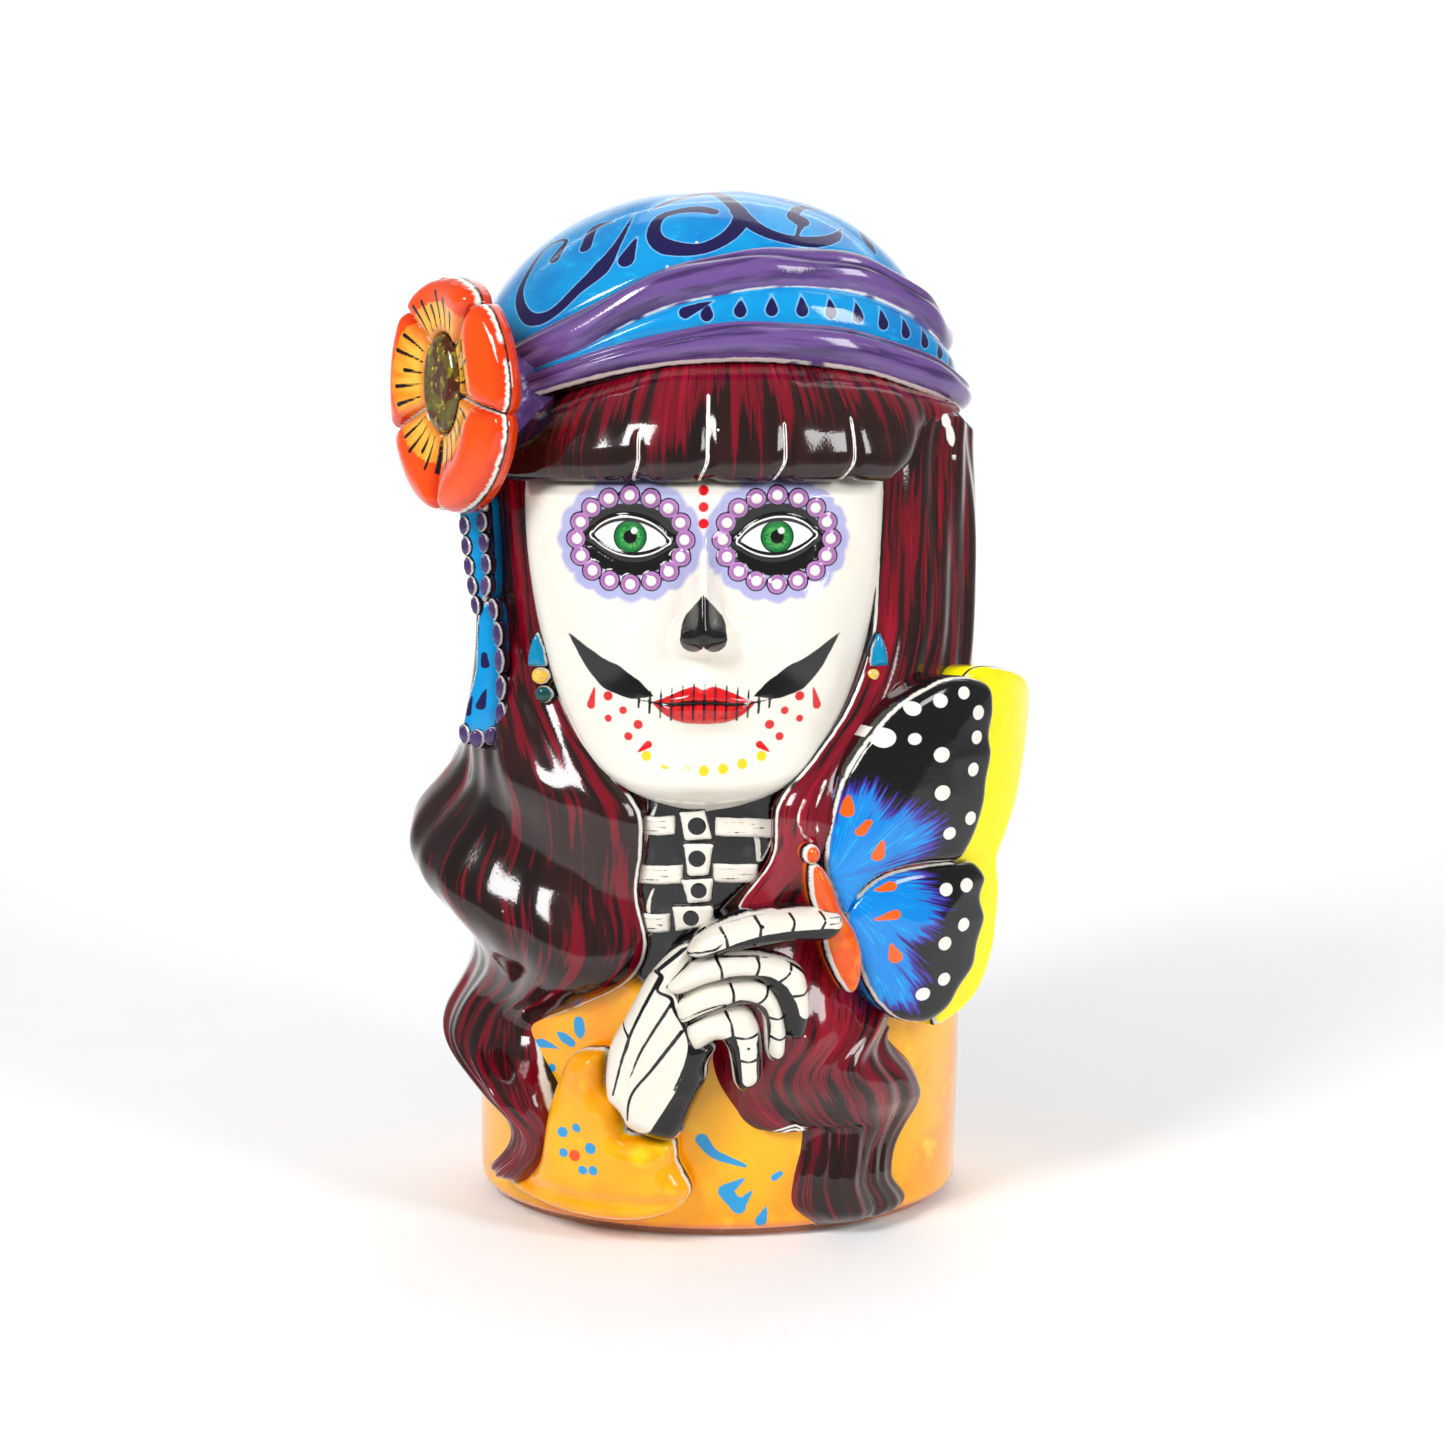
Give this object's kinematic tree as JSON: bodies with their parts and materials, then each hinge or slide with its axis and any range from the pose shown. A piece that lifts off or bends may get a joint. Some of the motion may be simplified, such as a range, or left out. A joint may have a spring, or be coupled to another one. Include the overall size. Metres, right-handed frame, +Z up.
{
  "type": "catrina bust",
  "caption": "Hollow glazed ceramic sugar-skull bust of a woman with a headscarf, a flower, long hair and a butterfly perched on her bony hand.",
  "frame": {"origin": "centre of the oval that the foot rim encloses, on the surface it stands on", "axes": "+Z up, -Y the way the face looks, +X towards the butterfly"},
  "size_m": [0.2683, 0.19, 0.43],
  "materials": {
    "bare_clay": "unglazed, fired terracotta",
    "scarf_blue": "glossy clear glaze over blue brushwork",
    "scarf_purple": "glossy clear glaze over purple brushwork",
    "hair": "glossy clear glaze over dark brown and crimson strokes",
    "bone_white": "glossy clear glaze over white slip",
    "neck_black": "glossy clear glaze over black",
    "dress_yellow": "glossy clear glaze over yellow and orange",
    "petal_orange": "glossy clear glaze over orange fading to yellow",
    "flower_eye": "glossy glaze over speckled brown",
    "wing_dark": "glossy glaze over black with a feathered blue root",
    "wing_border": "glossy clear glaze over lemon yellow",
    "butterfly_orange": "glossy clear glaze over orange",
    "earring": "glossy clear glaze over blue, yellow and green"
  },
  "bodies": {
    "root": {"bust_front_shell": "bare_clay", "bust_back_shell": "bare_clay", "index_finger": "bone_white", "middle_finger": "bone_white", "ring_finger": "bone_white", "little_finger": "bone_white", "hand_back": "bone_white", "sleeve": "dress_yellow", "butterfly_head": "butterfly_orange", "butterfly_body": "butterfly_orange", "butterfly_upper_wing": "wing_dark", "butterfly_lower_wing": "wing_dark", "butterfly_border": "wing_border", "fringe": "hair", "left_lower_lock": "hair", "right_lower_lock": "hair", "right_hair_fall": "hair", "left_hair_fall": "hair", "back_hair": "hair", "scarf_lower_roll": "scarf_purple", "scarf_upper_roll": "scarf_purple", "scarf_centre_band": "scarf_blue", "scarf_crown": "scarf_blue", "scarf_tail_upper": "scarf_blue", "scarf_tail_lower": "scarf_blue", "scarf_tail_beads": "scarf_purple", "face": "bone_white", "neck": "neck_black", "neck_ribs": "bone_white", "neck_vertebrae": "bone_white", "dress_front": "dress_yellow", "dress_back": "dress_yellow", "flower_centre": "flower_eye", "scarf_knot": "scarf_purple", "left_earring": "earring", "right_earring": "earring", "flower_petal_1": "petal_orange", "flower_petal_2": "petal_orange", "flower_petal_3": "petal_orange", "flower_petal_4": "petal_orange", "flower_petal_5": "petal_orange"}
  },
  "joints": []
}
